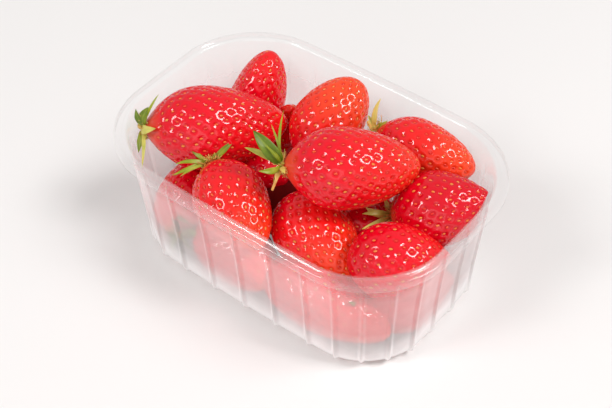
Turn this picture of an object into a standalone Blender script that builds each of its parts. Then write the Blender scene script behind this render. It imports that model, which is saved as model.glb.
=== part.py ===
"""A clear thin-walled punnet heaped with strawberries.

Two pieces stand in one frame, in metres, with +Z up and +X along the long side:
the moulded punnet and the heap of berries inside it.  The punnet is a thin sheet
lofted through rounded-rectangle rings.  The heap is one solid: each berry is a
lofted cone pressed flat where it meets the punnet, and all are joined over a core.
"""
import math

import bmesh
import bpy
from mathutils import Vector

MM = 0.001

# ---- punnet, in millimetres -------------------------------------------------
RIM_HALF_LENGTH = 71.5
RIM_HALF_WIDTH = 48.5
RIM_CORNER = 32.0
SIDE_BULGE = (1.2, 1.7)      # how far the short and long sides bow outward
CORNER_SHRINK = 0.8          # corner radius lost per millimetre of inset
RIM_HEIGHT = 56.0

# The outer skin from the floor to the lip: inset from the rim outline, height,
# and how far a rib stands out there.
SKIN = (
    (15.0, 0.0, 0.0),
    (12.4, 0.6, 0.5),
    (10.3, 2.8, 1.0),
    (9.3, 6.5, 1.0),
    (5.7, 47.0, 0.7),
    (5.0, 51.0, 0.0),
    (4.3, 55.0, 0.0),
    (3.6, 55.4, 0.0),
    (2.5, 54.6, 0.0),
    (1.1, 55.5, 0.0),
    (0.0, 54.2, 0.0),
)
SKIRT_BOTTOM = 52.6
WALL = 0.5

# Ribs down the wall, placed in one quarter of the outline and mirrored.
SHORT_SIDE_RIBS = (0.5,)
CORNER_RIBS = (12.0, 34.0, 56.0, 78.0)
LONG_SIDE_RIBS = (0.82, 0.41, 0.0)
RIB_HALF_WIDTH = 1.6

# ---- berries, in millimetres ------------------------------------------------
# name, neck, tip, greatest radius
BERRIES = (
    ("left_rear", (-60, -24, 49), (-23, 17, 43), 15.4),
    ("rear_left_upright", (-50, 19, 17), (-45, 35, 55), 11.8),
    ("rear_low", (-34, 29, 9), (-27, 24, 44), 9.3),
    ("rear_centre_upright", (-11, 10, 34), (-6, 40, 57), 13.3),
    ("top_centre", (0, -17, 59), (38, 17, 55), 14.9),
    ("rear_right", (9, 29, 46), (50, 35, 46), 12.5),
    ("right_end", (33, 7, 35), (64, 27, 49), 13.6),
    ("front_right", (33, -20, 35), (66, 0, 36), 14.0),
    ("front_centre", (-5, -7, 31), (36, -20, 28), 14.4),
    ("front_left", (-31, -19, 44), (7, -36, 37), 13.4),
    ("left_low", (-50, -8, 22), (-31, -37, 22), 12.8),
    ("middle_left", (-13, 2, 28), (-46, 11, 20), 10.0),
    ("middle_low", (0, 1, 17), (17, 30, 16), 10.5),
    ("middle_right", (8, -2, 22), (42, 12, 24), 12.6),
    ("front_low", (9, -25, 17), (56, -27, 16), 12.8),
    ("right_low", (33, -16, 18), (61, 6, 15), 12.2),
    ("left_front_low", (-35, -26, 16), (6, -31, 17), 12.0),
)
BERRY_WIDEST = 0.42          # share of the length from neck to widest place
BERRY_RINGS = 9
BERRY_SEGMENTS = 15
NECK_SHAPE = (2.4, 0.82)
TIP_SHAPE = (1.75, 0.72)
HEAP_CLEARANCE = 0.35        # air kept between the berries and the punnet

# The core that joins the berries: centre x and y, half length, half width, height.
CORE_LEVELS = (
    (0, 0, 46, 24, 3.0),
    (0, 0, 53, 31, 9.0),
    (0, 0, 53, 30, 24.0),
    (-1, 1, 47, 22, 34.0),
    (8, 4, 28, 10, 40.0),
    (18, 3, 13, 6, 47.0),
)
CORE_CORNER_SHARE = 0.8

# Berries whose leafy crown shows: name, leaf reach, turn in degrees.
CROWNS = (
    ("left_rear", 9.0, 20.0),
    ("top_centre", 11.0, 5.0),
    ("rear_right", 8.0, 40.0),
    ("right_end", 8.0, 10.0),
    ("front_left", 10.0, 30.0),
)
CROWN_LEAVES = 6
CROWN_THICKNESS = 2.0        # at the middle
LEAF_TIP_THICKNESS = 0.6
LEAF_BENDS = (0.45, -0.35, 0.2)   # how far leaf tips turn along the berry
LEAF_NOTCH = 0.4             # share of the reach at the notch between two leaves


def clear_scene():
    """Remove every object that is already there."""
    for obj in list(bpy.data.objects):
        bpy.data.objects.remove(obj, do_unlink=True)


def make_material(name, color, roughness, transmission=0.0, ior=1.45):
    """Return a plain Principled material."""
    material = bpy.data.materials.new(name)
    material.use_nodes = True
    shader = material.node_tree.nodes["Principled BSDF"]
    shader.inputs["Base Color"].default_value = (*color, 1.0)
    shader.inputs["Roughness"].default_value = roughness
    shader.inputs["IOR"].default_value = ior
    shader.inputs["Transmission Weight"].default_value = transmission
    return material


def make_object(name, bm, material):
    """Turn a bmesh into a named object with outward faces."""
    bmesh.ops.recalc_face_normals(bm, faces=bm.faces)
    mesh = bpy.data.meshes.new(name)
    bm.to_mesh(mesh)
    bm.free()
    mesh.materials.append(material)
    obj = bpy.data.objects.new(name, mesh)
    bpy.context.scene.collection.objects.link(obj)
    return obj


def shade_round(obj, sharp_degrees):
    """Shade smooth, keeping the edges sharper than the given angle."""
    bm = bmesh.new()
    bm.from_mesh(obj.data)
    limit = math.radians(sharp_degrees)
    for face in bm.faces:
        face.smooth = True
    for edge in bm.edges:
        edge.smooth = edge.calc_face_angle(0.0) < limit
    bm.to_mesh(obj.data)
    bm.free()


# ---- rounded-rectangle outline ----------------------------------------------
def ring_size(inset):
    """Half length, half width and corner radius of a ring inset from the rim."""
    corner = RIM_CORNER - CORNER_SHRINK * inset
    return RIM_HALF_LENGTH - inset, RIM_HALF_WIDTH - inset, corner


def bow(x, y, half_length, half_width):
    """Push the flat sides out into a gentle curve."""
    inner_length = half_length - SIDE_BULGE[0]
    inner_width = half_width - SIDE_BULGE[1]
    across = max(0.0, 1.0 - (y / inner_width) ** 2)
    along = max(0.0, 1.0 - (x / inner_length) ** 2)
    return (x * (1.0 + SIDE_BULGE[0] / inner_length * across),
            y * (1.0 + SIDE_BULGE[1] / inner_width * along))


def quarter_stations():
    """List the stations of the first quarter as (part, value, rib weight)."""
    stations = [("short", 0.0, 0.0)]
    for share in SHORT_SIDE_RIBS:
        for step, weight in ((-0.1, 0.0), (0.0, 1.0), (0.1, 0.0)):
            stations.append(("short", share + step, weight))
    spread = math.degrees(RIB_HALF_WIDTH / RIM_CORNER)
    for angle in CORNER_RIBS:
        if angle > CORNER_RIBS[0]:
            gap = CORNER_RIBS[1] - CORNER_RIBS[0]
            stations.append(("corner", angle - gap / 2.0, 0.0))
        for step, weight in ((-spread, 0.0), (0.0, 1.0), (spread, 0.0)):
            stations.append(("corner", angle + step, weight))
    step_share = RIB_HALF_WIDTH / (RIM_HALF_LENGTH - RIM_CORNER)
    previous = 1.0
    for share in LONG_SIDE_RIBS:
        stations.append(("long", (previous + share) / 2.0, 0.0))
        stations.append(("long", share + step_share, 0.0))
        stations.append(("long", share, 1.0))
        if share > 0.0:
            stations.append(("long", share - step_share, 0.0))
        previous = share
    return stations


def quarter_point(part, value, inset):
    """Return a station's point and outward direction on one ring."""
    half_length, half_width, corner = ring_size(inset)
    straight_x = half_length - SIDE_BULGE[0] - corner
    straight_y = half_width - SIDE_BULGE[1] - corner
    if part == "short":
        x, y, out = straight_x + corner, straight_y * value, (1.0, 0.0)
    elif part == "long":
        x, y, out = straight_x * value, straight_y + corner, (0.0, 1.0)
    else:
        angle = math.radians(value)
        out = (math.cos(angle), math.sin(angle))
        x, y = straight_x + corner * out[0], straight_y + corner * out[1]
    return bow(x, y, half_length, half_width), out


def ring_points(inset, height, rib):
    """Return the closed ring of points at one level of the skin."""
    quarter = []
    for part, value, weight in quarter_stations():
        (x, y), out = quarter_point(part, value, inset)
        reach = rib * weight
        quarter.append((x + out[0] * reach, y + out[1] * reach))
    mirrored = [(-x, y) for x, y in reversed(quarter[:-1])]
    half = quarter + mirrored
    other = [(x, -y) for x, y in reversed(half[1:-1])]
    return [(x, y, height) for x, y in half + other]


# ---- punnet -----------------------------------------------------------------
def inner_skin():
    """Offset the outer skin inward by the wall thickness."""
    points = [Vector((-inset, height)) for inset, height, _ in SKIN]
    offset = []
    for index, point in enumerate(points):
        before = points[max(index - 1, 0)]
        after = points[min(index + 1, len(points) - 1)]
        along = (after - before).normalized()
        normal = Vector((-along.y, along.x))
        moved = point + normal * WALL
        offset.append((-moved.x, moved.y, SKIN[index][2]))
    first = offset[0]
    offset[0] = (first[0], WALL, first[2])
    return offset


def punnet_rings():
    """Return every ring, up the outside, round the lip and down the inside."""
    outside = list(SKIN)
    lip_inset, lip_height, _ = outside[-1]
    inside = inner_skin()
    # The underside of the rim stops at the skirt, which hangs from its edge.
    outer_face = [(inset + 0.0, height, rib) for inset, height, rib in outside[:-1]]
    under_lip = [(lip_inset + WALL, lip_height - 0.3, 0.0)]
    skirt = [(lip_inset + WALL, SKIRT_BOTTOM, 0.0), (lip_inset, SKIRT_BOTTOM, 0.0)]
    over_lip = [(lip_inset, lip_height, 0.0), (lip_inset + 0.5, RIM_HEIGHT - 0.5, 0.0)]
    down = [level for level in reversed(inside[:-1])]
    return outer_face + under_lip + skirt + over_lip + down


def build_punnet(material):
    """Loft the rings into one closed thin sheet."""
    bm = bmesh.new()
    rings = []
    for inset, height, rib in punnet_rings():
        ring = [bm.verts.new(Vector(point) * MM) for point in ring_points(inset, height, rib)]
        rings.append(ring)
    count = len(rings[0])
    for lower, upper in zip(rings, rings[1:]):
        for index in range(count):
            following = (index + 1) % count
            bm.faces.new((lower[index], lower[following], upper[following], upper[index]))
    bm.faces.new(list(reversed(rings[0])))
    bm.faces.new(rings[-1])
    return make_object("punnet_tray", bm, material)


# ---- berries ----------------------------------------------------------------
def berry_radius(share):
    """Radius of a berry, as a share of its greatest, along its length."""
    if share < BERRY_WIDEST:
        power, swell = NECK_SHAPE
        depth = (BERRY_WIDEST - share) / BERRY_WIDEST
    else:
        power, swell = TIP_SHAPE
        depth = (share - BERRY_WIDEST) / (1.0 - BERRY_WIDEST)
    return max(0.0, 1.0 - depth ** power) ** swell


def wall_inset(height):
    """Inset of the punnet's inner face at a height, read from its skin."""
    levels = [(inset, level) for inset, level, _ in SKIN[:7]]
    for (low_inset, low), (high_inset, high) in zip(levels, levels[1:]):
        if height <= high:
            share = (height - low) / (high - low)
            return low_inset + (high_inset - low_inset) * share + WALL
    return levels[-1][0] + WALL


def keep_inside(point):
    """Move a point in from the punnet's walls and floor by the clearance."""
    x, y, z = point
    z = max(z, WALL + HEAP_CLEARANCE)
    inset = wall_inset(min(z, SKIN[6][1])) + HEAP_CLEARANCE
    half_length, half_width, corner = ring_size(inset)
    half_length -= SIDE_BULGE[0]
    half_width -= SIDE_BULGE[1]
    over_x = abs(x) - (half_length - corner)
    over_y = abs(y) - (half_width - corner)
    if over_x > 0.0 and over_y > 0.0:
        reach = math.hypot(over_x, over_y)
        if reach > corner:
            over_x *= corner / reach
            over_y *= corner / reach
    over_x = min(over_x, corner)
    over_y = min(over_y, corner)
    return Vector((math.copysign(half_length - corner + over_x, x),
                   math.copysign(half_width - corner + over_y, y), z))


def berry_frame(neck, tip):
    """Return the berry's length and its three directions."""
    axis = tip - neck
    length = axis.length
    axis.normalize()
    side = axis.cross(Vector((0.0, 0.0, 1.0))).normalized()
    return length, axis, side, axis.cross(side)


def loft_closed(bm, rings, start, end):
    """Join rings of vertices and close them with two end points."""
    count = len(rings[0])
    for lower, upper in zip(rings, rings[1:]):
        for index in range(count):
            following = (index + 1) % count
            bm.faces.new((lower[index], lower[following], upper[following], upper[index]))
    for index in range(count):
        following = (index + 1) % count
        bm.faces.new((start, rings[0][following], rings[0][index]))
        bm.faces.new((end, rings[-1][index], rings[-1][following]))


def build_berry(name, neck, tip, radius, material):
    """Loft one berry, pressed in where the punnet holds it."""
    neck, tip = Vector(neck), Vector(tip)
    length, axis, side, across = berry_frame(neck, tip)
    bm = bmesh.new()
    rings = []
    for level in range(1, BERRY_RINGS + 1):
        share = (1.0 - math.cos(math.pi * level / (BERRY_RINGS + 1))) / 2.0
        reach = radius * berry_radius(share)
        ring = []
        for segment in range(BERRY_SEGMENTS):
            angle = 2.0 * math.pi * segment / BERRY_SEGMENTS
            out = side * math.cos(angle) + across * math.sin(angle)
            point = keep_inside(neck + axis * (length * share) + out * reach)
            ring.append(bm.verts.new(point * MM))
        rings.append(ring)
    start = bm.verts.new(keep_inside(neck) * MM)
    end = bm.verts.new(keep_inside(tip) * MM)
    loft_closed(bm, rings, start, end)
    return make_object("berry_" + name, bm, material)


def build_core(material):
    """Loft the core that fills the space between the berries."""
    bm = bmesh.new()
    rings = []
    steps = 24
    for middle_x, middle_y, half_length, half_width, height in CORE_LEVELS:
        corner = half_width * CORE_CORNER_SHARE
        ring = []
        for step in range(steps):
            angle = 2.0 * math.pi * step / steps
            x = math.copysign(half_length - corner, math.cos(angle)) + corner * math.cos(angle)
            y = math.copysign(half_width - corner, math.sin(angle)) + corner * math.sin(angle)
            ring.append(bm.verts.new(Vector((middle_x + x, middle_y + y, height)) * MM))
        rings.append(ring)
    foot, crest = CORE_LEVELS[0], CORE_LEVELS[-1]
    start = bm.verts.new(Vector((foot[0], foot[1], foot[4] - 1.0)) * MM)
    end = bm.verts.new(Vector((crest[0], crest[1], crest[4] + 1.0)) * MM)
    loft_closed(bm, rings, start, end)
    return make_object("strawberry_heap", bm, material)


def build_crown(berry, reach, turn, material):
    """Build one star-shaped crown of bent leaves round a berry's neck."""
    _, neck, tip, _ = berry
    neck, tip = Vector(neck), Vector(tip)
    _, axis, side, across = berry_frame(neck, tip)
    bm = bmesh.new()
    rings = []
    for face in (-0.5, 0.5):
        ring = []
        for step in range(2 * CROWN_LEAVES):
            angle = math.radians(turn) + math.pi * step / CROWN_LEAVES
            is_tip = step % 2 == 0
            spread = reach if is_tip else reach * LEAF_NOTCH
            thick = LEAF_TIP_THICKNESS if is_tip else CROWN_THICKNESS
            bend = LEAF_BENDS[(step // 2) % len(LEAF_BENDS)] if is_tip else 0.0
            out = side * math.cos(angle) + across * math.sin(angle)
            point = neck + axis * (face * thick + bend * spread) + out * spread
            ring.append(bm.verts.new(keep_inside(point) * MM))
        rings.append(ring)
    start = bm.verts.new(keep_inside(neck - axis * CROWN_THICKNESS) * MM)
    end = bm.verts.new(keep_inside(neck + axis * 3.0) * MM)
    loft_closed(bm, rings, start, end)
    return make_object("crown_" + berry[0], bm, material)


def join_solids(base, other):
    """Union another solid into the base and remove it."""
    union = base.modifiers.new("union", "BOOLEAN")
    union.operation = "UNION"
    union.solver = "EXACT"
    union.object = other
    graph = bpy.context.evaluated_depsgraph_get()
    joined = bpy.data.meshes.new_from_object(base.evaluated_get(graph))
    base.modifiers.remove(union)
    base.data = joined
    bpy.data.objects.remove(other, do_unlink=True)


def tidy_solid(obj):
    """Weld stray doubles and drop faces without area after the unions."""
    bm = bmesh.new()
    bm.from_mesh(obj.data)
    bmesh.ops.remove_doubles(bm, verts=bm.verts, dist=0.00002)
    bmesh.ops.dissolve_degenerate(bm, edges=bm.edges, dist=0.00002)
    bmesh.ops.triangulate(bm, faces=bm.faces)
    bmesh.ops.recalc_face_normals(bm, faces=bm.faces)
    bm.to_mesh(obj.data)
    bm.free()


def build_heap(material):
    """Join all berries and crowns over the core into one solid."""
    heap = build_core(material)
    by_name = {berry[0]: berry for berry in BERRIES}
    for berry in BERRIES:
        join_solids(heap, build_berry(*berry, material))
    for name, reach, turn in CROWNS:
        join_solids(heap, build_crown(by_name[name], reach, turn, material))
    tidy_solid(heap)
    return heap


def main():
    """Build the punnet and its heap of berries."""
    clear_scene()
    plastic = make_material("clear_plastic", (0.90, 0.91, 0.92), 0.08, 0.9, 1.55)
    fruit = make_material("strawberry", (0.62, 0.012, 0.014), 0.32)
    punnet = build_punnet(plastic)
    shade_round(punnet, 50.0)
    heap = build_heap(fruit)
    shade_round(heap, 40.0)


main()
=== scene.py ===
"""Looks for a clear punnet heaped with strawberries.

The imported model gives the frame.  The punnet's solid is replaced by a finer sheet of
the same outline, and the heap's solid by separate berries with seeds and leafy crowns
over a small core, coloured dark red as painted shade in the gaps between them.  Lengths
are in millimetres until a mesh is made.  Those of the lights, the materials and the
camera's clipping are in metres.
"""

import math

import bpy
import numpy as np
from mathutils import Matrix, Vector
from mathutils.kdtree import KDTree


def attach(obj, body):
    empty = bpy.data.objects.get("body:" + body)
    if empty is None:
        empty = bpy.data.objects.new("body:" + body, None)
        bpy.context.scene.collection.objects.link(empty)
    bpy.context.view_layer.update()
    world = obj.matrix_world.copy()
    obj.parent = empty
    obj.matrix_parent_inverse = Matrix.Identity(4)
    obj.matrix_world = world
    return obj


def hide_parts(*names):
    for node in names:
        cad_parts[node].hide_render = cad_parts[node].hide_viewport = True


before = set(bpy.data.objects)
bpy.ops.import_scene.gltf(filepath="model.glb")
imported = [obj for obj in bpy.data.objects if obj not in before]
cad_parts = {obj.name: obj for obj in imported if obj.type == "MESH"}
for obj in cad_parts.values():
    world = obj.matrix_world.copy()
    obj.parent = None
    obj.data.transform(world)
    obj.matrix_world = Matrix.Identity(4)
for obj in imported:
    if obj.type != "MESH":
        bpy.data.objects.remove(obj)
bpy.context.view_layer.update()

MM = 0.001
UP = np.array((0.0, 0.0, 1.0))

# ---- the view ---------------------------------------------------------------
VIEW_AZIMUTH = 38.9
VIEW_ELEVATION = 45.3
VIEW_ROLL = -0.95
VIEW_DISTANCE = 546.6
VIEW_TARGET = (-17.0, 19.6, 0.0)
LENS = 79.4
SENSOR_WIDTH = 36.0
CLIP_START = 0.01

# ---- the stage --------------------------------------------------------------
# The punnet is two surfaces deep, so light has more of them to pass than the defaults allow.
TRANSPARENT_BOUNCES = 32
DIFFUSE_BOUNCES = 8
WORLD_COLOR = (1.0, 0.985, 0.975, 1.0)
WORLD_STRENGTH = 0.45
FLOOR_HALF_SIZE = 3000.0
AIM_HEIGHT = 0.03
# Each soft box: name, azimuth, elevation, distance, size and power.
SOFT_BOXES = (
    ("right_soft_box", 112.0, 53.0, 1.4, (0.46, 0.46), 11.6),
    ("left_soft_box", -27.0, 41.0, 1.4, (0.40, 0.40), 7.0),
    ("front_fill_box", 30.0, 22.0, 1.7, (1.20, 0.90), 3.2),
)

# ---- punnet -----------------------------------------------------------------
RIM_HALF_LENGTH = 71.5
RIM_HALF_WIDTH = 48.5
RIM_CORNER = 32.0
# How far the short and the long sides bulge in the middle.
SIDE_BULGE = (1.2, 1.7)
# How much the corner's radius loses for each millimetre of inset, and where that stops.
CORNER_SHRINK = 0.8
LEAST_CORNER = 4.0
WALL = 0.5
RIM_HEIGHT = 56.0
# Ribs of one quarter, as shares of the straight sides and as degrees round the corner.
SHORT_SIDE_RIBS = (0.5,)
CORNER_RIBS = (12.0, 34.0, 56.0, 78.0)
LONG_SIDE_RIBS = (0.82, 0.41, 0.0)
RIB_HALF_WIDTH = 1.5
# Points along each stretch of one quarter, and the wall's corner radius against the rim's.
SHORT_SIDE_STATIONS = 22
CORNER_STATIONS = 76
LONG_SIDE_STATIONS = 52
WALL_CORNER_SHARE = 0.9

# Inset from the rim outline, height and rib reach, up the outer face.
SKIN = (
    (15.0, 0.0, 0.0),
    (12.4, 0.6, 0.5),
    (10.3, 2.8, 1.0),
    (9.3, 6.5, 1.0),
    (8.4, 20.0, 0.9),
    (7.0, 35.0, 0.8),
    (5.7, 47.0, 0.6),
    (5.3, 50.0, 0.0),
    (4.9, 52.6, 0.0),
    (4.3, 54.9, 0.0),
    (3.6, 55.4, 0.0),
    (2.5, 54.6, 0.0),
    (1.2, 55.45, 0.0),
    (0.4, 55.1, 0.0),
    (0.0, 54.2, 0.0),
)
SKIN_STEPS = 3
# The rows of SKIN that berries can touch the inside of.
WALL_ROWS = 10
# The skirt's rows, down its inner face, round its lower edge and up to the roll.
SKIRT_BOTTOM = 52.7
SKIRT = (
    (WALL, 54.0, 0.0),
    (WALL, SKIRT_BOTTOM + 0.1, 0.0),
    (WALL * 0.75, SKIRT_BOTTOM, 0.0),
    (WALL * 0.25, SKIRT_BOTTOM, 0.0),
    (0.0, SKIRT_BOTTOM + 0.1, 0.0),
    (0.0, 54.2, 0.0),
    (0.1, 54.9, 0.0),
    (0.4, 55.45, 0.0),
)
# Insets at which the faces under and over the roll stop and the skirt's rows take over.
UNDER_END = WALL + 0.05
OVER_END = 0.8
# How milky the plastic is: at heights up the outer face, at the rim, inside and below.
RIM_MILK = 0.11
BODY_MILK = ((0.0, 8.0, 18.0, 40.0, 52.0), (2.7, 2.2, 1.0, 0.9, RIM_MILK))
INNER_MILK = 0.08
FLOOR_MILK = 1.0

# ---- berries ----------------------------------------------------------------
# Each berry: name, neck, tip, radius, bluntness of neck and tip (less is blunter), how
# orange it is and how fine its mesh is.
BERRIES = (
    ("left_rear", (-60, -24, 49), (-23, 17, 43), 15.8, 0.86, 0.62, 0.45, "fine"),
    ("rear_left_upright", (-50, 19, 17), (-45, 35, 55), 11.8, 0.7, 0.52, 0.35, "medium"),
    ("rear_low", (-34, 29, 9), (-27, 24, 44), 9.3, 0.7, 0.7, 0.5, "coarse"),
    ("rear_centre_upright", (-11, 10, 34), (-6, 40, 57), 13.3, 0.7, 0.50, 0.95, "medium"),
    ("top_centre", (1, -16, 59), (38, 17, 55), 14.7, 0.84, 0.58, 0.6, "fine"),
    ("rear_right", (9, 29, 47), (50, 35, 46), 12.5, 0.88, 0.58, 0.85, "medium"),
    ("right_end", (33, 7, 35), (68, 24, 50), 14.4, 0.68, 0.95, 0.0, "fine"),
    ("front_right", (33, -20, 35), (66, 0, 36), 14.2, 0.56, 0.72, 0.45, "fine"),
    ("front_centre", (-5, -7, 31), (36, -20, 28), 14.4, 0.66, 0.70, 0.75, "fine"),
    ("front_left", (-31, -19, 44), (7, -36, 37), 13.4, 0.84, 0.7, 0.75, "fine"),
    ("left_low", (-35, -35, 17), (-51, -6, 23), 13.4, 0.7, 0.6, 0.4, "medium"),
    ("middle_left", (-13, 2, 28), (-46, 11, 20), 10.0, 0.7, 0.7, 0.5, "coarse"),
    ("middle_low", (0, 1, 17), (17, 30, 16), 10.5, 0.7, 0.7, 0.1, "coarse"),
    ("middle_right", (8, 0, 24), (41, 14, 23), 12.4, 0.6, 0.7, 0.0, "coarse"),
    ("front_low", (1, -28, 16), (57, -26, 16), 13.6, 0.7, 0.62, 0.5, "medium"),
    ("right_low", (42, -22, 19), (62, 8, 17), 13.8, 0.62, 0.6, 0.3, "coarse"),
    ("left_front_low", (-31, -27, 18), (10, -33, 18), 13.2, 0.7, 0.6, 0.4, "coarse"),
)
# Rows and columns of a berry's mesh, and how far the rows crowd towards the ends.
FINENESS = {"fine": (150, 232), "medium": (120, 160), "coarse": (64, 88)}
ROW_CROWDING = 0.6
# A berry's profile: where it is widest and how it falls off to each end.
WIDEST = 0.42
NECK_POWER = 2.2
TIP_POWER = 1.75
MOST_BEND = 0.8
# Each lobe of the cross section: how many times it goes round and how much it swells.
LOBES = ((2, 0.055), (3, 0.032), (5, 0.010))
LOBE_RANGE = (0.4, 1.0)
LOBE_PHASE = 6.3
LOBE_TWIST = 1.5
HEAP_CLEARANCE = 0.3
SEED_SPACING = 3.55
SEED_PACKING = 0.9
SEED_CROWD = (0.78, 0.75)
# How far seeds stray along and round a berry, and the least share of its radius that the
# second is worked out with.
SEED_JITTER = (0.004, 0.02)
LEAST_SHARE = 0.3
PROFILE_SAMPLES = 400
# Where along a berry its seeds start, with and without a crown, and end.
CROWNED_START = 0.07
BARE_START = 0.02
SEEDS_END = 0.985
SEED_SIZE = (0.68, 0.42, 0.32)
SEED_SIZE_RANGE = (0.85, 1.15)
SEED_TAPER = 0.25
SEED_WANDER = 0.15
# How deep a seed's middle lies, as a share of its dimple's depth.
SEED_SINK = 0.82
SEED_RINGS = 3
SEED_SEGMENTS = 6
DIMPLE_DEPTH = 0.50
DIMPLE_REACH = 1.70
DIMPLE_STRETCH = 0.3
# Dimples fade out over this share of the berry at its neck.
DIMPLE_FADE = 0.12
NEAREST_SEEDS = 3
RIDGE_SOFTNESS = 0.20
GOLDEN_ANGLE = math.pi * (3.0 - math.sqrt(5.0))

# ---- crowns -----------------------------------------------------------------
# Each leaf: turn about the berry, lean back along the stem, length, width, twist and
# tone, which runs from fresh green (0) over yellow green to dry tan (1).
LEAVES = {
    "left_rear": ((-114, -29, 13.6, 1.5, 70, 0.25), (-94, -15, 9.0, 4.6, 60, 0.10),
                  (-39, -30, 8.9, 4.4, -10, 0.55), (-111, 18, 7.0, 3.2, 60, 0.05),
                  (34, 13, 8.7, 3.0, -60, 0.15), (30, 4, 15.0, 1.8, -80, 0.45),
                  (-174, 38, 5.4, 3.0, 57, 0.20)),
    "top_centre": ((-119, 41, 15.4, 7.0, 90, 0.0), (-123, -2, 18.8, 1.3, 85, 0.2),
                   (-128, 15, 14.1, 1.2, 87, 0.3), (-98, 36, 9.4, 1.8, 100, 0.2),
                   (-23, 60, 9.6, 3.0, 180, 0.25), (-125, 68, 14.0, 3.2, 97, 0.45),
                   (16, 18, 6.5, 2.6, -90, 0.8), (-16, -12, 5.5, 2.4, -61, 0.7),
                   (170, 20, 8.0, 3.4, 0, 0.2), (80, 15, 8.0, 3.0, 0, 0.3)),
    "front_left": ((-35, 56, 9.8, 2.2, -149, 0.15), (-5, 18, 12.2, 2.2, -120, 0.2),
                   (0, 1, 14.3, 2.2, -120, 0.25), (-6, -11, 12.5, 1.6, -110, 0.3),
                   (-154, 33, 9.9, 2.4, 120, 0.15), (-154, 11, 11.2, 2.8, 120, 0.1),
                   (-178, 40, 6.5, 2.6, 108, 0.75), (80, 10, 8.0, 2.6, 0, 0.3)),
    "rear_right": ((-127, 7, 11.8, 2.6, 100, 0.65), (-102, -40, 7.6, 2.2, 80, 0.3),
                   (-119, 44, 5.8, 2.4, 110, 0.6), (100, 10, 8.0, 3.0, 0, 0.3)),
    "right_end": ((-74, 44, 9.6, 3.6, 150, 0.55), (-55, 46, 10.8, 2.8, 168, 0.4),
                  (-19, 46, 11.9, 2.4, -150, 0.45), (-122, 12, 6.5, 2.2, 104, 0.5),
                  (120, 20, 8.0, 3.0, 0, 0.3)),
    "left_front_low": ((-38, 21, 10.6, 4.6, -160, 0.1), (-11, -17, 11.3, 4.6, -131, 0.15),
                       (14, -43, 13.0, 4.2, -117, 0.1), (-132, -17, 6.0, 3.0, 129, 0.2),
                       (-85, 47, 7.9, 3.4, 162, 0.2)),
    "front_low": ((-55, 47, 14.0, 4.2, 180, 0.1), (-23, 26, 12.9, 4.0, -146, 0.2),
                  (-6, -3, 11.3, 3.6, -123, 0.15), (-100, 51, 11.4, 3.6, 143, 0.2)),
    "right_low": ((-60, 40, 12.0, 3.6, 150, 0.1), (-10, 20, 12.0, 3.4, -120, 0.2),
                  (60, 30, 11.0, 3.2, 20, 0.1)),
    "left_low": ((-100, 10, 11.0, 3.8, 90, 0.0), (-30, 20, 12.0, 3.8, -90, 0.1),
                 (40, 20, 12.0, 4.0, 30, 0.0), (110, 15, 11.0, 3.8, 60, 0.1),
                 (180, 30, 9.0, 3.6, 0, 0.0)),
}
# Each broken stalk: turn, lean, length and radius.
STALKS = {
    "left_rear": (-170, 62, 3.0, 0.9),
    "top_centre": (30, 22, 10.0, 0.75),
    "front_left": (-120, 70, 3.0, 0.9),
    "rear_right": (-100, 55, 4.0, 0.9),
    "right_end": (20, 25, 6.5, 0.8),
}
STALK_MESH = (7, 8)
STALK_BEND = 0.12
STALK_TONE = 0.78
LEAF_ROWS = 16
LEAF_COLUMNS = 7
LEAF_THICKNESS = 0.28
# Leaves are made narrower than LEAVES says by this share.
LEAF_NARROWING = 0.72
LEAF_DROOP = (0.05, 0.14)
LEAF_SWAY = 0.08
LEAF_CURL = 25.0
# How far a leaf starts to the side of the neck's middle and back along the stalk.
LEAF_ROOT_OUT = 1.02
LEAF_ROOT_BACK = 0.3
# How wide a leaf is at its root, how ragged its edge is, and how much it folds and waves.
LEAF_ROOT_WIDTH = 0.30
LEAF_RAGGEDNESS = 0.06
LEAF_FOLD = 0.30
LEAF_WAVE = 0.05
# Dry bristles in a collar round the stalk: how many, how far out and how far along the
# berry the collar goes.
BRISTLES = 90
COLLAR_RADIUS = 3.8
COLLAR_DROP = 1.6
BRISTLE_MESH = (4, 5)
BRISTLE_LEAN = (-30.0, 80.0)
BRISTLE_LENGTH = (1.2, 3.2)
BRISTLE_BEND = 0.25
BRISTLE_RADIUS = (0.12, 0.26)
BRISTLE_TONE = (0.45, 1.0)
TUBE_TAPER = 0.35

# ---- core -------------------------------------------------------------------
# Each level: middle, half length, half width and height.
CORE_LEVELS = (
    (0, 0, 22, 8, 9.0),
    (0, 0, 30, 12, 13.0),
    (0, 2, 32, 12, 20.0),
    (2, 4, 24, 8, 27.0),
)
CORE_ENDS = ((0.0, 0.0, 8.0), (2.0, 4.0, 28.0))
CORE_COLUMNS = 48
CORE_WAVE = 0.03

# ---- colours ----------------------------------------------------------------
# Each ramp: places and their colours.
FLESH_RAMP = ((0.0, (0.66, 0.0, 0.012)), (0.3, (0.80, 0.001, 0.014)),
              (0.65, (0.88, 0.014, 0.010)), (1.0, (0.93, 0.065, 0.014)))
# The dimple ramp darkens the flesh down in each seed's dimple: painted shade.
DIMPLE_SHADE_RAMP = ((0.2, (1.0, 1.0, 1.0)), (0.8, (0.80, 0.55, 0.65)))
NECK_RAMP = ((0.0, (1.0, 1.0, 1.0)), (0.05, (0.6, 0.6, 0.6)), (0.12, (0.0, 0.0, 0.0)))
NECK_COLOR = (0.88, 0.20, 0.06)
NECK_PALENESS = 0.5
# How much each of these adds to a berry's warmth, its place in the flesh's ramp.
ALONG_POWER = 1.2
PATCH_WARMTH = 0.45
DIMPLE_WARMTH = 0.10
TIP_WARMTH = 0.30
FLESH_SPECULAR = 0.58
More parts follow.
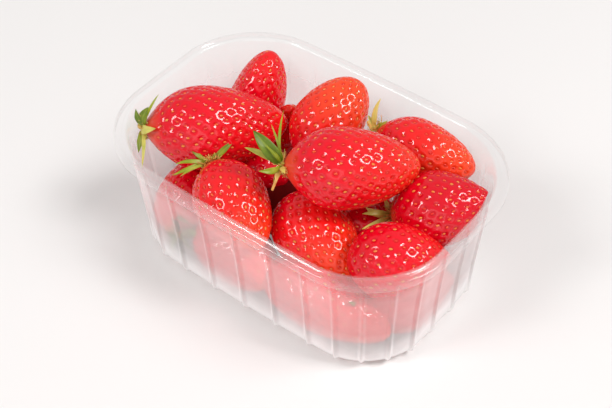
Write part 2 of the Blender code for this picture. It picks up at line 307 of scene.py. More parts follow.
# The skin's least roughness, and what the noise adds at most.
FLESH_POLISH = (0.08, 0.07)
SEED_SPECKLE = 0.3
SEED_RAMP = ((0.0, (0.76, 0.02, 0.012)), (0.5, (0.84, 0.08, 0.02)), (1.0, (0.82, 0.28, 0.05)))
LEAF_RAMP = ((0.0, (0.11, 0.18, 0.003)), (0.25, (0.29, 0.34, 0.008)), (0.55, (0.66, 0.58, 0.13)),
             (0.8, (0.72, 0.38, 0.09)), (1.0, (0.42, 0.18, 0.03)))
VEIN_RAMP = ((0.0, (1.0, 1.0, 1.0)), (0.22, (0.0, 0.0, 0.0)))
VEIN_COLOR = (0.40, 0.46, 0.07)
VEIN_STRENGTH = 0.35
LEAF_BLOTCHES = 0.5
# The core's dark red is painted shade for the gaps between the berries.
CORE_SHADE_RAMP = ((0.3, (0.11, 0.002, 0.003)), (0.7, (0.17, 0.006, 0.005)))
FLOOR_RAMP = ((0.3, (0.83, 0.81, 0.80)), (0.7, (0.85, 0.83, 0.82)))
# The plastic: its haze and shine seen square on, what is added seen edge-on, and the
# power that gathers that at the edge.
MILK_COLOR = (1.0, 0.99, 0.99, 1.0)
HAZE = 0.32
EDGE_HAZE = 0.5
HAZE_POWER = 3.0
STREAKINESS = 0.10
LIT_FROM_BEHIND = 0.18
SHINE = 0.028
EDGE_SHINE = 0.5
SHINE_POWER = 5.0
GLOSS_ROUGHNESS = 0.10


# ---- node helpers -----------------------------------------------------------
class Nodes:
    """Short calls for building one material's node tree."""

    def __init__(self, name):
        self.material = bpy.data.materials.new(name)
        self.material.use_nodes = True
        self.tree = self.material.node_tree
        self.tree.nodes.clear()
        self.output = self.tree.nodes.new("ShaderNodeOutputMaterial")

    def add(self, kind, settings=None, **inputs):
        """Add a node, set its properties and set or link its inputs."""
        node = self.tree.nodes.new(kind)
        for key, value in (settings or {}).items():
            setattr(node, key, value)
        for key, value in inputs.items():
            self.put(node, key.replace("_", " "), value)
        return node

    def put(self, node, socket, value):
        """Set an input to a value or link it to another node's output."""
        target = node.inputs[int(socket) if socket.isdigit() else socket]
        if isinstance(value, bpy.types.NodeSocket):
            self.tree.links.new(value, target)
        else:
            target.default_value = value

    def attribute(self, name):
        """Read a number stored on the mesh."""
        return self.add("ShaderNodeAttribute", {"attribute_name": name}).outputs["Fac"]

    def math(self, operation, first, second):
        """Combine two numbers."""
        node = self.add("ShaderNodeMath", {"operation": operation})
        self.put(node, "0", first)
        self.put(node, "1", second)
        return node.outputs[0]

    def centred(self, value, amount):
        """Turn a number about a half into one about zero and scale it."""
        return self.math("MULTIPLY", self.math("SUBTRACT", value, 0.5), amount)

    def ramp(self, factor, stops):
        """Map a number through colours at the given places."""
        node = self.add("ShaderNodeValToRGB")
        elements = node.color_ramp.elements
        while len(elements) < len(stops):
            elements.new(0.5)
        for element, (place, color) in zip(elements, stops):
            element.position = place
            element.color = (*color, 1.0)
        self.put(node, "0", factor)
        return node.outputs[0]

    def mix_color(self, factor, first, second, blend="MIX"):
        """Blend two colours."""
        node = self.add("ShaderNodeMix", {"data_type": "RGBA", "blend_type": blend})
        self.put(node, "0", factor)
        for index, value in ((6, first), (7, second)):
            if isinstance(value, bpy.types.NodeSocket):
                self.tree.links.new(value, node.inputs[index])
            else:
                node.inputs[index].default_value = (*value, 1.0)
        return node.outputs[2]

    def mix_shader(self, factor, first, second):
        """Blend two shaders."""
        node = self.add("ShaderNodeMixShader", Fac=factor)
        self.put(node, "1", first)
        self.put(node, "2", second)
        return node.outputs[0]

    def noise(self, scale, detail):
        """Noise over the object's own coordinates, scale in cycles a metre."""
        place = self.add("ShaderNodeTexCoord").outputs["Object"]
        node = self.add("ShaderNodeTexNoise", Vector=place, Scale=scale, Detail=detail)
        return node.outputs["Fac"]

    def bump(self, height, distance, strength):
        """Turn a height into a normal."""
        node = self.add("ShaderNodeBump", Height=height, Distance=distance, Strength=strength)
        return node.outputs["Normal"]

    def finish(self, shader):
        """Send the shader to the surface and return the material."""
        self.tree.links.new(shader, self.output.inputs["Surface"])
        return self.material


# ---- mesh helpers -----------------------------------------------------------
def mesh_object(name, points, faces, material, smooth=True):
    """Make an object from points in millimetres."""
    mesh = bpy.data.meshes.new(name)
    mesh.from_pydata((np.asarray(points) * MM).tolist(), [], faces)
    mesh.update()
    mesh.materials.append(material)
    mesh.polygons.foreach_set("use_smooth", [smooth] * len(mesh.polygons))
    obj = bpy.data.objects.new(name, mesh)
    bpy.context.scene.collection.objects.link(obj)
    return obj


def store(obj, name, values):
    """Store one number per vertex on a mesh."""
    layer = obj.data.attributes.new(name, "FLOAT", "POINT")
    layer.data.foreach_set("value", np.asarray(values, dtype=np.float32))


def grid_faces(rows, columns, start=0):
    """Faces between rows of a closed ring of columns."""
    faces = []
    for row in range(rows - 1):
        base = start + row * columns
        for column in range(columns):
            following = (column + 1) % columns
            faces.append((base + column, base + following,
                          base + columns + following, base + columns + column))
    return faces


def cap_faces(first, ring_start, columns, flip):
    """Triangles from one point to a ring."""
    faces = []
    for column in range(columns):
        following = (column + 1) % columns
        pair = (ring_start + column, ring_start + following)
        faces.append((first, *(pair if flip else pair[::-1])))
    return faces


def closed_faces(rows, columns, start=0):
    """Faces of rows of a ring and of the two end points that come after them."""
    end = start + rows * columns
    faces = grid_faces(rows, columns, start)
    faces += cap_faces(end, start, columns, False)
    faces += cap_faces(end + 1, end - columns, columns, True)
    return faces


def ring_angles(columns):
    """Even angles round a ring."""
    return 2.0 * math.pi * np.arange(columns) / columns


def unit(vector):
    """Scale a vector, or rows of vectors, to length one."""
    vector = np.asarray(vector, dtype=float)
    return vector / np.maximum(np.linalg.norm(vector, axis=-1, keepdims=True), 1e-12)


# ---- punnet -----------------------------------------------------------------
def ring_size(inset):
    """Half length, half width and corner radius of a ring inset from the rim."""
    corner = np.maximum(RIM_CORNER - CORNER_SHRINK * np.asarray(inset, dtype=float), LEAST_CORNER)
    return RIM_HALF_LENGTH - inset, RIM_HALF_WIDTH - inset, corner


def rib_weight(distance):
    """A rounded ridge about a rib's centre line."""
    share = np.clip(np.abs(distance) / RIB_HALF_WIDTH, 0.0, 1.0)
    return np.cos(share * math.pi / 2.0) ** 2


def quarter_stations():
    """Stations of one quarter: part, value along it and rib weight."""
    straight_x = RIM_HALF_LENGTH - SIDE_BULGE[0] - RIM_CORNER
    straight_y = RIM_HALF_WIDTH - SIDE_BULGE[1] - RIM_CORNER
    stations = []
    for value in np.linspace(0.0, 1.0, SHORT_SIDE_STATIONS)[:-1]:
        weight = max(rib_weight((value - rib) * straight_y) for rib in SHORT_SIDE_RIBS)
        stations.append(("short", value, weight))
    a_degree = RIM_CORNER * WALL_CORNER_SHARE * math.pi / 180.0
    for value in np.linspace(0.0, 90.0, CORNER_STATIONS)[:-1]:
        weight = max(rib_weight((value - rib) * a_degree) for rib in CORNER_RIBS)
        stations.append(("corner", value, weight))
    for value in np.linspace(1.0, 0.0, LONG_SIDE_STATIONS):
        weight = max(rib_weight((value - rib) * straight_x) for rib in LONG_SIDE_RIBS)
        stations.append(("long", value, weight))
    return stations


STATIONS = quarter_stations()


def ring_points(inset, height, rib):
    """The closed ring of points at one level of the skin."""
    half_length, half_width, corner = ring_size(inset)
    inner_length = half_length - SIDE_BULGE[0]
    inner_width = half_width - SIDE_BULGE[1]
    straight_x = inner_length - corner
    straight_y = inner_width - corner
    quarter = []
    for part, value, weight in STATIONS:
        if part == "short":
            x, y, out = inner_length, straight_y * value, (1.0, 0.0)
        elif part == "long":
            x, y, out = straight_x * value, inner_width, (0.0, 1.0)
        else:
            angle = math.radians(value)
            out = (math.cos(angle), math.sin(angle))
            x, y = straight_x + corner * out[0], straight_y + corner * out[1]
        across = max(0.0, 1.0 - (y / inner_width) ** 2)
        along = max(0.0, 1.0 - (x / inner_length) ** 2)
        x = x * (1.0 + SIDE_BULGE[0] / inner_length * across) + out[0] * rib * weight
        y = y * (1.0 + SIDE_BULGE[1] / inner_width * along) + out[1] * rib * weight
        quarter.append((x, y))
    half = quarter + [(-x, y) for x, y in reversed(quarter[:-1])]
    other = [(x, -y) for x, y in reversed(half[1:-1])]
    return np.array([(x, y, height) for x, y in half + other])


def smooth_profile(points, steps):
    """Run a Catmull-Rom curve through the rows of a profile."""
    points = np.asarray(points, dtype=float)
    padded = np.vstack((2 * points[0] - points[1], points, 2 * points[-1] - points[-2]))
    rows = []
    for index in range(1, len(padded) - 2):
        before, start, end, after = padded[index - 1:index + 3]
        for share in np.arange(steps) / steps:
            rows.append(0.5 * (2 * start + (end - before) * share
                               + (2 * before - 5 * start + 4 * end - after) * share ** 2
                               + (3 * start - before - 3 * end + after) * share ** 3))
    rows.append(points[-1])
    return np.array(rows)


def punnet_levels():
    """Levels up the outside, round the skirt and down the inside."""
    skin = smooth_profile(SKIN, SKIN_STEPS)
    skin[:, 2] = np.clip(skin[:, 2], 0.0, None)
    skin[:, 1] = np.clip(skin[:, 1], 0.0, RIM_HEIGHT - WALL)
    along = unit(np.gradient(skin[:, :2] * (-1.0, 1.0), axis=0))
    inside = skin.copy()
    inside[:, 0] += along[:, 1] * WALL
    inside[:, 1] += along[:, 0] * WALL
    inside[0, :2] = (skin[0, 0], WALL)
    inside[:, 0] = np.maximum(inside[:, 0], 0.0)
    under = skin[skin[:, 0] > UNDER_END]
    over = inside[inside[:, 0] > OVER_END][::-1]
    milk = np.concatenate((np.interp(under[:, 1], *BODY_MILK),
                           np.full(len(SKIRT), RIM_MILK),
                           np.full(len(over), INNER_MILK)))
    return np.vstack((under, SKIRT, over)), milk


def build_punnet(material):
    """Loft the fine sheet of the punnet."""
    levels, milk = punnet_levels()
    rings = [ring_points(*level) for level in levels]
    columns = len(rings[0])
    points = np.vstack(rings)
    faces = [face[::-1] for face in grid_faces(len(rings), columns)]
    points = np.vstack((points, ((0.0, 0.0, 0.0), (0.0, 0.0, WALL))))
    last = (len(rings) - 1) * columns
    faces += cap_faces(len(points) - 2, 0, columns, True)
    faces += cap_faces(len(points) - 1, last, columns, False)
    obj = mesh_object("punnet_sheet", points, faces, material)
    store(obj, "milk", np.append(np.repeat(milk, columns), (FLOOR_MILK, INNER_MILK)))
    return obj


# ---- berries ----------------------------------------------------------------
def profile(share, bluntness):
    """Radius along a berry as a share of its greatest."""
    share = np.asarray(share, dtype=float)
    neck = np.clip((WIDEST - share) / WIDEST, 0.0, 1.0)
    tip = np.clip((share - WIDEST) / (1.0 - WIDEST), 0.0, 1.0)
    toward_neck = (1.0 - neck ** NECK_POWER) ** bluntness[0]
    toward_tip = (1.0 - tip ** TIP_POWER) ** bluntness[1]
    return np.where(share < WIDEST, toward_neck, toward_tip)


def wall_inset(height):
    """Inset of the punnet's inner face at each height."""
    levels = np.array([(level, inset) for inset, level, _ in SKIN[:WALL_ROWS]])
    return np.interp(height, levels[:, 0], levels[:, 1]) + WALL


def keep_inside(points):
    """Press points in from the punnet's walls and floor."""
    points = points.copy()
    points[:, 2] = np.maximum(points[:, 2], WALL + HEAP_CLEARANCE)
    half_length, half_width, corner = ring_size(wall_inset(points[:, 2]) + HEAP_CLEARANCE)
    half_length = half_length - SIDE_BULGE[0]
    half_width = half_width - SIDE_BULGE[1]
    over_x = np.abs(points[:, 0]) - (half_length - corner)
    over_y = np.abs(points[:, 1]) - (half_width - corner)
    reach = np.hypot(np.maximum(over_x, 0.0), np.maximum(over_y, 0.0))
    both = (over_x > 0.0) & (over_y > 0.0) & (reach > corner)
    scale = np.where(both, corner / np.maximum(reach, 1e-9), 1.0)
    over_x = np.minimum(over_x * scale, corner)
    over_y = np.minimum(over_y * scale, corner)
    points[:, 0] = np.copysign(half_length - corner + over_x, points[:, 0])
    points[:, 1] = np.copysign(half_width - corner + over_y, points[:, 1])
    return points


class Berry:
    """One berry's shape, worked out from its neck, tip and radius."""

    def __init__(self, index, name, neck, tip, radius, neck_end, tip_end, tip_tone, fineness):
        self.name = name
        self.random = np.random.default_rng(100 + index)
        self.neck = np.array(neck, dtype=float)
        self.tip = np.array(tip, dtype=float)
        self.radius = radius
        self.bluntness = (neck_end, tip_end)
        self.tip_tone = tip_tone
        self.rows, self.columns = FINENESS[fineness]
        self.length = np.linalg.norm(self.tip - self.neck)
        self.axis = (self.tip - self.neck) / self.length
        self.side = unit(np.cross(self.axis, UP))
        self.across = np.cross(self.axis, self.side)
        self.bend = self.random.uniform(-MOST_BEND, MOST_BEND, 2)
        self.lobes = [(order, self.random.uniform(*LOBE_RANGE) * size,
                       self.random.uniform(0, LOBE_PHASE),
                       self.random.uniform(-LOBE_TWIST, LOBE_TWIST))
                      for order, size in LOBES]

    def surface(self, share, angle):
        """Points of the smooth berry at given places along and round it."""
        swell = np.ones_like(share)
        for order, size, phase, twist in self.lobes:
            swell = swell + size * np.sin(order * angle + phase + twist * share)
        reach = self.radius * profile(share, self.bluntness) * swell
        arch = 4.0 * share * (1.0 - share)
        out = (np.cos(angle)[..., None] * self.side + np.sin(angle)[..., None] * self.across)
        middle = (self.neck + self.axis * (self.length * share)[..., None]
                  + self.side * (self.bend[0] * arch)[..., None]
                  + self.across * (self.bend[1] * arch)[..., None])
        return middle + out * reach[..., None]

    def normal(self, share, angle):
        """Outward directions at given places."""
        step = 0.004
        low = np.clip(share - step, 0.0, 1.0)
        high = np.clip(share + step, 0.0, 1.0)
        turn_step = 0.01
        along = self.surface(high, angle) - self.surface(low, angle)
        around = self.surface(share, angle + turn_step) - self.surface(share, angle - turn_step)
        return unit(np.cross(around, along))

    def crowding(self, share):
        """How close the seeds stand at each place, more towards the tip."""
        return SEED_CROWD[0] + SEED_CROWD[1] * share ** 2

    def seed_places(self):
        """Spread seeds in spirals of equal area, closer towards the tip."""
        share = np.linspace(0.0, 1.0, PROFILE_SAMPLES)
        reach = self.radius * profile(share, self.bluntness)
        slant = np.hypot(self.length, np.gradient(reach, share))
        strip = 2.0 * math.pi * reach * slant * self.crowding(share)
        total = np.concatenate(((0.0,), np.cumsum((strip[1:] + strip[:-1]) / 2.0 * np.diff(share))))
        count = int(total[-1] / (SEED_SPACING ** 2 * SEED_PACKING))
        wanted = (np.arange(count) + 0.5) / count * total[-1]
        places = np.interp(wanted, total, share)
        angles = np.arange(count) * GOLDEN_ANGLE
        places = places + self.random.normal(0.0, SEED_JITTER[0], count)
        angles = angles + self.random.normal(0.0, SEED_JITTER[1], count) / np.maximum(
            profile(places, self.bluntness), LEAST_SHARE)
        start = CROWNED_START if self.name in LEAVES else BARE_START
        keep = (places > start) & (places < SEEDS_END)
        return places[keep], angles[keep]


def build_berry(berry, material):
    """Make a berry's flesh with a dimple round every seed."""
    rows, columns = berry.rows, berry.columns
    share = (1.0 - np.cos(np.pi * (np.arange(1, rows + 1)) / (rows + 1))) / 2.0
    even = np.linspace(0.0, 1.0, rows + 2)[1:-1]
    share = share * ROW_CROWDING + even * (1.0 - ROW_CROWDING)
    grids = np.meshgrid(share, ring_angles(columns), indexing="ij")
    share_grid, angle_grid = (grid.ravel() for grid in grids)
    points = berry.surface(share_grid, angle_grid)
    normals = berry.normal(share_grid, angle_grid)
    seed_share, seed_angle = berry.seed_places()
    seeds = berry.surface(seed_share, seed_angle)
    tree = KDTree(len(seeds))
    for index, seed in enumerate(seeds):
        tree.insert(seed, index)
    tree.balance()
    nearest = np.array([[found[1] for found in tree.find_n(point, NEAREST_SEEDS)]
                        for point in points])
    offset = points[:, None, :] - seeds[nearest]
    lengthwise = offset @ berry.axis
    squared = (offset ** 2).sum(axis=2) - DIMPLE_STRETCH * lengthwise ** 2
    distance = np.sqrt(np.maximum(squared, 0.0))
    distance = -RIDGE_SOFTNESS * np.log(np.exp(-distance / RIDGE_SOFTNESS).sum(axis=1))
    reach = DIMPLE_REACH / np.sqrt(berry.crowding(share_grid))
    rise = np.clip(distance / reach, 0.0, 1.0)
    bowl = 0.5 + 0.5 * np.cos(np.pi * rise)
    fade = np.clip(share_grid / DIMPLE_FADE, 0.0, 1.0)
    points = points - normals * (bowl * DIMPLE_DEPTH * fade)[:, None]
    ends = np.vstack((berry.surface(np.array([0.0]), np.array([0.0])),
                      berry.surface(np.array([1.0]), np.array([0.0]))))
    points = keep_inside(np.vstack((points, ends)))
    obj = mesh_object("berry_" + berry.name, points, closed_faces(rows, columns), material)
    store(obj, "along", np.concatenate((share_grid, (0.0, 1.0))))
    store(obj, "dimple", np.concatenate((bowl, (0.0, 0.0))))
    store(obj, "tip_tone", np.full(len(points), berry.tip_tone))
    store(obj, "pale_neck", np.full(len(points), float(berry.name in LEAVES)))
    return obj, seeds, berry.normal(seed_share, seed_angle)


def build_seeds(sets, material):
    """Join every seed of every berry into one mesh."""
    polar = np.pi * np.arange(1, SEED_RINGS + 1) / (SEED_RINGS + 1)
    ball = [(math.cos(p), math.sin(p) * math.cos(t), math.sin(p) * math.sin(t))
            for p in polar for t in ring_angles(SEED_SEGMENTS)]
    ball = np.array(ball + [(1.0, 0.0, 0.0), (-1.0, 0.0, 0.0)])
    ball[:, 1:] *= (1.0 - SEED_TAPER * ball[:, :1])
    faces = closed_faces(SEED_RINGS, SEED_SEGMENTS)
    # Triangles get a fourth corner of -1, which is left out again below.
    faces = np.array([face if len(face) == 4 else (*face, -1) for face in faces])
    points, all_faces, tones = [], [], []
    for berry, seeds, normals in sets:
        random = berry.random
        for seed, normal in zip(seeds, normals):
            lengthwise = unit(berry.axis - normal * (berry.axis @ normal)
                              + SEED_WANDER * random.normal(size=3))
            widthwise = unit(np.cross(normal, lengthwise))
            size = np.array(SEED_SIZE) * random.uniform(*SEED_SIZE_RANGE)
            middle = seed - normal * (DIMPLE_DEPTH * SEED_SINK)
            body = (ball[:, :1] * size[0] * lengthwise + ball[:, 1:2] * size[1] * widthwise
                    + ball[:, 2:] * size[2] * normal)
            start = len(points) * len(ball)
            points.append(keep_inside(middle + body))
            all_faces.append(np.where(faces < 0, -1, faces + start))
            tones.append(np.full(len(ball), random.random()))
    merged = [tuple(int(i) for i in face if i >= 0) for block in all_faces for face in block]
    obj = mesh_object("berry_seeds", np.vstack(points), merged, material)
    store(obj, "tone", np.concatenate(tones))
    return obj


# ---- crowns -----------------------------------------------------------------
def crown_direction(berry, turn, lean):
    """Direction that starts at a berry's neck, sideways or back along the stalk."""
    turn, lean = math.radians(turn), math.radians(lean)
    sideways = math.cos(turn) * berry.side + math.sin(turn) * berry.across
    return sideways, math.cos(lean) * sideways - math.sin(lean) * berry.axis


def leaf_points(berry, turn, lean, length, width, twist):
    """Rings of points round a thin pointed leaf, with a fold along its middle."""
    random = berry.random
    sideways, along = crown_direction(berry, turn, lean)
    face = unit(-berry.axis + along * (berry.axis @ along))
    width_way = np.cross(along, face)
    root = berry.neck + sideways * LEAF_ROOT_OUT - berry.axis * LEAF_ROOT_BACK
    droop = random.uniform(*LEAF_DROOP) * length
    sway = random.uniform(-LEAF_SWAY, LEAF_SWAY) * length
    curl = random.uniform(-LEAF_CURL, LEAF_CURL)
    side = np.linspace(-1.0, 1.0, LEAF_COLUMNS)
    rings = []
    for share in (np.arange(LEAF_ROWS) + 0.5) / LEAF_ROWS:
        turned = math.radians(twist + curl * share)
        normal = math.cos(turned) * face + math.sin(turned) * width_way
        across = np.cross(along, normal)
        arch = 4.0 * share * (1.0 - share)
        middle = root + along * (length * share) + normal * (droop * arch) + across * (sway * arch)
        outline = LEAF_ROOT_WIDTH * (1.0 - share) ** 2 + math.sin(math.pi * share ** 0.85) ** 0.8
        ragged = 1.0 + LEAF_RAGGEDNESS * math.sin(9.0 * share + turn)
        half = LEAF_NARROWING * width / 2.0 * outline * ragged
        wave = LEAF_WAVE * width * np.sin(5.0 * share + side * 2.0)
        fold = LEAF_FOLD * half * np.abs(side) ** 1.5 + wave
        skin = LEAF_THICKNESS * (0.3 + 0.7 * (1.0 - side ** 2)) / 2.0
        top = middle + np.outer(side * half, across) + np.outer(fold + skin, normal)
        bottom = middle + np.outer(side * half, across) + np.outer(fold - skin, normal)
        rings.append(np.vstack((top, bottom[::-1])))
    ends = np.vstack((root, root + along * length))
    sides = np.concatenate((np.abs(side), np.abs(side[::-1])))
    return rings, ends, sides


def tube_points(start, direction, bend, length, radius, count, columns):
    """Rings of points round a tapering tube that bends sideways."""
    slanted = direction + (0.31, 0.17, 0.53)
    first = unit(np.cross(direction, slanted))
    second = np.cross(direction, first)
    turn = ring_angles(columns)
    round_about = np.outer(np.cos(turn), first) + np.outer(np.sin(turn), second)
    rings = []
    for share in np.linspace(0.0, 1.0, count):
        middle = start + direction * (length * share) + bend * share ** 2
        reach = radius * (1.0 - TUBE_TAPER * share)
        rings.append(middle + reach * round_about)
    ends = np.vstack((rings[0].mean(axis=0), rings[-1].mean(axis=0) + direction * radius * 0.3))
    return rings, ends, np.ones(columns)


class Joined:
    """Collects closed lofts with a tone each into one mesh."""

    def __init__(self):
        self.points = []
        self.faces = []
        self.tones = []
        self.sides = []
        self.count = 0

    def add(self, rings, ends, sides, tone):
        """Add one loft: its rings in order, the two end points and a tone."""
        body = np.vstack(rings + [ends])
        self.points.append(keep_inside(body))
        self.faces += closed_faces(len(rings), len(rings[0]), self.count)
        self.tones.append(np.full(len(body), tone))
        self.sides.append(np.concatenate([sides] * len(rings) + [(0.5, 0.5)]))
        self.count += len(body)

    def finish(self, name, material):
        """Make the mesh object."""
        obj = mesh_object(name, np.vstack(self.points), self.faces, material)
        store(obj, "tone", np.concatenate(self.tones))
        store(obj, "side", np.concatenate(self.sides))
        return obj


def build_leaves(berries, material):
    """Join every leaf of every crown into one mesh."""
    joined = Joined()
    for name, leaves in LEAVES.items():
        for turn, lean, length, width, twist, tone in leaves:
            rings, ends, sides = leaf_points(berries[name], turn, lean, length, width, twist)
            joined.add(rings, ends, sides, tone)
    return joined.finish("crown_leaves", material)


def build_stalks(berries, material):
    """Join the broken stalks and the dry bristles round them into one mesh."""
    joined = Joined()
    for name in LEAVES:
        berry = berries[name]
        random = berry.random
        if name in STALKS:
            turn, lean, length, radius = STALKS[name]
            direction = crown_direction(berry, turn, lean)[1]
            bend = random.normal(0.0, STALK_BEND, 3) * length
            stalk = tube_points(berry.neck, direction, bend, length, radius, *STALK_MESH)
            joined.add(*stalk, STALK_TONE)
        for _ in range(BRISTLES):
            turn = random.uniform(0.0, 360.0)
            reach = random.uniform(0.1, 1.0)
            lean = random.uniform(*BRISTLE_LEAN)
            sideways, direction = crown_direction(berry, turn, lean)
            start = berry.neck + sideways * COLLAR_RADIUS * reach
            start = start + berry.axis * COLLAR_DROP * reach ** 2
            length = random.uniform(*BRISTLE_LENGTH)
            bend = random.normal(0.0, BRISTLE_BEND, 3) * length
            radius = random.uniform(*BRISTLE_RADIUS)
            bristle = tube_points(start, direction, bend, length, radius, *BRISTLE_MESH)
            joined.add(*bristle, random.uniform(*BRISTLE_TONE))
    return joined.finish("crown_stalks", material)


# ---- materials --------------------------------------------------------------
def flesh_material():
    """Glossy red skin, more orange at the tip and paler at the neck, with painted shade down in
    each dimple.
    """
    nodes = Nodes("strawberry_flesh")
    along = nodes.attribute("along")
    tip_tone = nodes.attribute("tip_tone")
    dimple = nodes.attribute("dimple")
    patches = nodes.noise(60.0, 3.0)
    warmth = nodes.math("MULTIPLY", nodes.math("POWER", along, ALONG_POWER), tip_tone)
    warmth = nodes.math("ADD", warmth, nodes.centred(patches, PATCH_WARMTH))
    warmth = nodes.math("ADD", warmth, nodes.math("MULTIPLY", dimple, DIMPLE_WARMTH))
    warmth = nodes.math("ADD", warmth, nodes.math("MULTIPLY", tip_tone, TIP_WARMTH))
    color = nodes.ramp(warmth, FLESH_RAMP)
    # Painted shade: the flesh darkens down in each dimple towards its seed.
    color = nodes.mix_color(1.0, color, nodes.ramp(dimple, DIMPLE_SHADE_RAMP), "MULTIPLY")
    pale = nodes.math("MULTIPLY", nodes.attribute("pale_neck"), NECK_PALENESS)
    pale = nodes.math("MULTIPLY", nodes.ramp(along, NECK_RAMP), pale)
    color = nodes.mix_color(pale, color, NECK_COLOR)
    normal = nodes.bump(nodes.noise(1400.0, 2.0), 0.00005, 0.4)
    polish = nodes.math("MULTIPLY", nodes.noise(500.0, 2.0), FLESH_POLISH[1])
    polish = nodes.math("ADD", FLESH_POLISH[0], polish)
    shader = nodes.add("ShaderNodeBsdfPrincipled", Base_Color=color, Roughness=polish,
                       Specular_IOR_Level=FLESH_SPECULAR, Normal=normal)
    return nodes.finish(shader.outputs[0])


def seed_material():
    """Yellow to orange seeds, some of them red."""
    nodes = Nodes("strawberry_seeds")
    tone = nodes.attribute("tone")
    speckle = nodes.centred(nodes.noise(900.0, 2.0), SEED_SPECKLE)
    color = nodes.ramp(nodes.math("ADD", tone, speckle), SEED_RAMP)
    shader = nodes.add("ShaderNodeBsdfPrincipled", Base_Color=color, Roughness=0.22)
    return nodes.finish(shader.outputs[0])


def painted_shade_core_material():
    """Dark red painted shade for the gaps between the berries."""
    nodes = Nodes("heap_core_painted_shade")
    color = nodes.ramp(nodes.noise(120.0, 3.0), CORE_SHADE_RAMP)
    shader = nodes.add("ShaderNodeBsdfPrincipled", Base_Color=color, Roughness=0.8,
                       Specular_IOR_Level=0.1)
    return nodes.finish(shader.outputs[0])


def leaf_material():
    """Green, yellow green or dry sepals with a paler vein."""
    nodes = Nodes("strawberry_leaf")
    tone = nodes.attribute("tone")
    blotches = nodes.centred(nodes.noise(260.0, 4.0), LEAF_BLOTCHES)
    color = nodes.ramp(nodes.math("ADD", tone, blotches), LEAF_RAMP)
    vein = nodes.ramp(nodes.attribute("side"), VEIN_RAMP)
    color = nodes.mix_color(nodes.math("MULTIPLY", vein, VEIN_STRENGTH), color, VEIN_COLOR)
    normal = nodes.bump(nodes.noise(1800.0, 3.0), 0.0001, 0.6)
    shader = nodes.add("ShaderNodeBsdfPrincipled", Base_Color=color, Roughness=0.42, Normal=normal)
    return nodes.finish(shader.outputs[0])


def plastic_material():
    """Clear thin plastic with a milky outer face and a glossy skin."""
    nodes = Nodes("clear_plastic_sheet")
    white = (1.0, 1.0, 1.0, 1.0)
    facing = nodes.add("ShaderNodeLayerWeight", Blend=0.5).outputs["Facing"]
    edge_haze = nodes.math("MULTIPLY", nodes.math("POWER", facing, HAZE_POWER), EDGE_HAZE)
    haze = nodes.math("ADD", HAZE, edge_haze)
    haze = nodes.math("ADD", haze, nodes.centred(nodes.noise(160.0, 3.0), STREAKINESS))
    haze = nodes.math("MULTIPLY", haze, nodes.attribute("milk"))
    clear = nodes.add("ShaderNodeBsdfTransparent", Color=white).outputs[0]
    milk = nodes.add("ShaderNodeBsdfDiffuse", Color=MILK_COLOR).outputs[0]
    glow = nodes.add("ShaderNodeBsdfTranslucent", Color=MILK_COLOR).outputs[0]
    cloudy = nodes.mix_shader(LIT_FROM_BEHIND, milk, glow)
    body = nodes.mix_shader(haze, clear, cloudy)
    gloss = nodes.add("ShaderNodeBsdfGlossy", Color=white, Roughness=GLOSS_ROUGHNESS).outputs[0]
    edge_shine = nodes.math("MULTIPLY", nodes.math("POWER", facing, SHINE_POWER), EDGE_SHINE)
    shine = nodes.math("ADD", SHINE, edge_shine)
    return nodes.finish(nodes.mix_shader(shine, body, gloss))


def floor_material():
    """Plain white surface."""
    nodes = Nodes("studio_floor")
    color = nodes.ramp(nodes.noise(3.0, 1.0), FLOOR_RAMP)
    shader = nodes.add("ShaderNodeBsdfPrincipled", Base_Color=color, Roughness=0.7)
    return nodes.finish(shader.outputs[0])


# ---- stage ------------------------------------------------------------------
def view_direction(azimuth, elevation):
    """Unit vector from the object towards a viewer."""
    turn, rise = math.radians(azimuth), math.radians(elevation)
    level = math.cos(rise)
    return Vector((math.sin(turn) * level, -math.cos(turn) * level, math.sin(rise)))


def place_camera():
    """Set the camera at the photograph's viewing angle."""
    back = view_direction(VIEW_AZIMUTH, VIEW_ELEVATION)
    right = Vector((0.0, 0.0, 1.0)).cross(back).normalized()
    top = back.cross(right)
    roll = math.radians(VIEW_ROLL)
    right, top = (right * math.cos(roll) + top * math.sin(roll),
                  top * math.cos(roll) - right * math.sin(roll))
    data = bpy.data.cameras.new("camera")
    data.lens = LENS
    data.sensor_width = SENSOR_WIDTH
    data.clip_start = CLIP_START
    camera = bpy.data.objects.new("camera", data)
    place = Vector(VIEW_TARGET) * MM + back * (VIEW_DISTANCE * MM)
    turn = Matrix((right, top, back)).transposed().to_4x4()
    camera.matrix_world = Matrix.Translation(place) @ turn
    bpy.context.scene.collection.objects.link(camera)
    bpy.context.scene.camera = camera


def add_light(name, azimuth, elevation, distance, size, power):
    """Add a soft box aimed at the punnet."""
    data = bpy.data.lights.new(name, "AREA")
    data.shape = "RECTANGLE"
    data.size, data.size_y = size
    data.energy = power
    light = bpy.data.objects.new(name, data)
    direction = view_direction(azimuth, elevation)
    light.location = direction * distance + Vector((0.0, 0.0, AIM_HEIGHT))
    light.rotation_euler = direction.to_track_quat("Z", "Y").to_euler()
    bpy.context.scene.collection.objects.link(light)


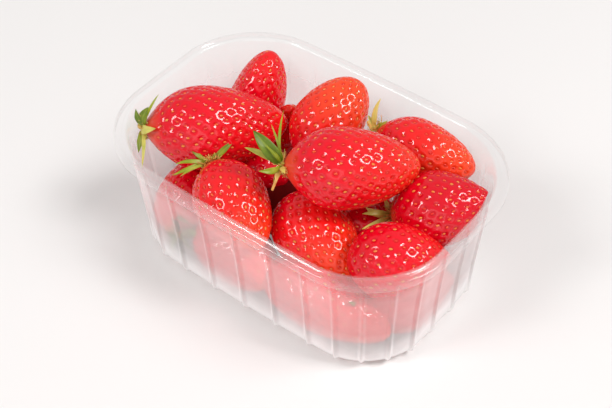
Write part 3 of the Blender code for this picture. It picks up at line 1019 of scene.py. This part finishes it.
def build_stage():
    """Add the floor, the surrounding light and the soft boxes."""
    size = FLOOR_HALF_SIZE
    points = [(x, y, 0.0) for x, y in ((-size, -size), (size, -size), (size, size), (-size, size))]
    floor = mesh_object("studio_floor", points, [(0, 1, 2, 3)], floor_material(), smooth=False)
    world = bpy.data.worlds.new("studio")
    world.use_nodes = True
    background = world.node_tree.nodes["Background"]
    background.inputs["Color"].default_value = WORLD_COLOR
    background.inputs["Strength"].default_value = WORLD_STRENGTH
    bpy.context.scene.world = world
    for soft_box in SOFT_BOXES:
        add_light(*soft_box)
    bpy.context.scene.view_settings.view_transform = "Standard"
    bpy.context.scene.cycles.transparent_max_bounces = TRANSPARENT_BOUNCES
    bpy.context.scene.cycles.diffuse_bounces = DIFFUSE_BOUNCES


# ---- assembly ---------------------------------------------------------------
def build_core(material):
    """Put a small core between the berries, its dark red colour painted shade."""
    turn = ring_angles(CORE_COLUMNS)
    rings = []
    for middle_x, middle_y, half_length, half_width, height in CORE_LEVELS:
        x = middle_x + half_length * np.cos(turn) * (1.0 + CORE_WAVE * np.sin(5 * turn + height))
        y = middle_y + half_width * np.sin(turn) * (1.0 + CORE_WAVE * np.cos(4 * turn + height))
        rings.append(np.column_stack((x, y, np.full(CORE_COLUMNS, height))))
    points = np.vstack(rings + [CORE_ENDS])
    faces = closed_faces(len(CORE_LEVELS), CORE_COLUMNS)
    return mesh_object("heap_core_painted_shade", points, faces, material)


def main():
    """Build every piece, the stage and the camera."""
    punnet = build_punnet(plastic_material())
    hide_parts("punnet_tray")
    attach(punnet, "root")

    flesh = flesh_material()
    heap_pieces = []
    seed_sets = []
    berries = {}
    for index, row in enumerate(BERRIES):
        berry = Berry(index, *row)
        berries[berry.name] = berry
        obj, seeds, normals = build_berry(berry, flesh)
        heap_pieces.append(obj)
        seed_sets.append((berry, seeds, normals))
    heap_pieces.append(build_seeds(seed_sets, seed_material()))
    heap_pieces.append(build_core(painted_shade_core_material()))
    leaf = leaf_material()
    heap_pieces.append(build_leaves(berries, leaf))
    heap_pieces.append(build_stalks(berries, leaf))
    for piece in heap_pieces:
        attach(piece, "root")
    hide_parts("strawberry_heap")

    build_stage()
    place_camera()


main()
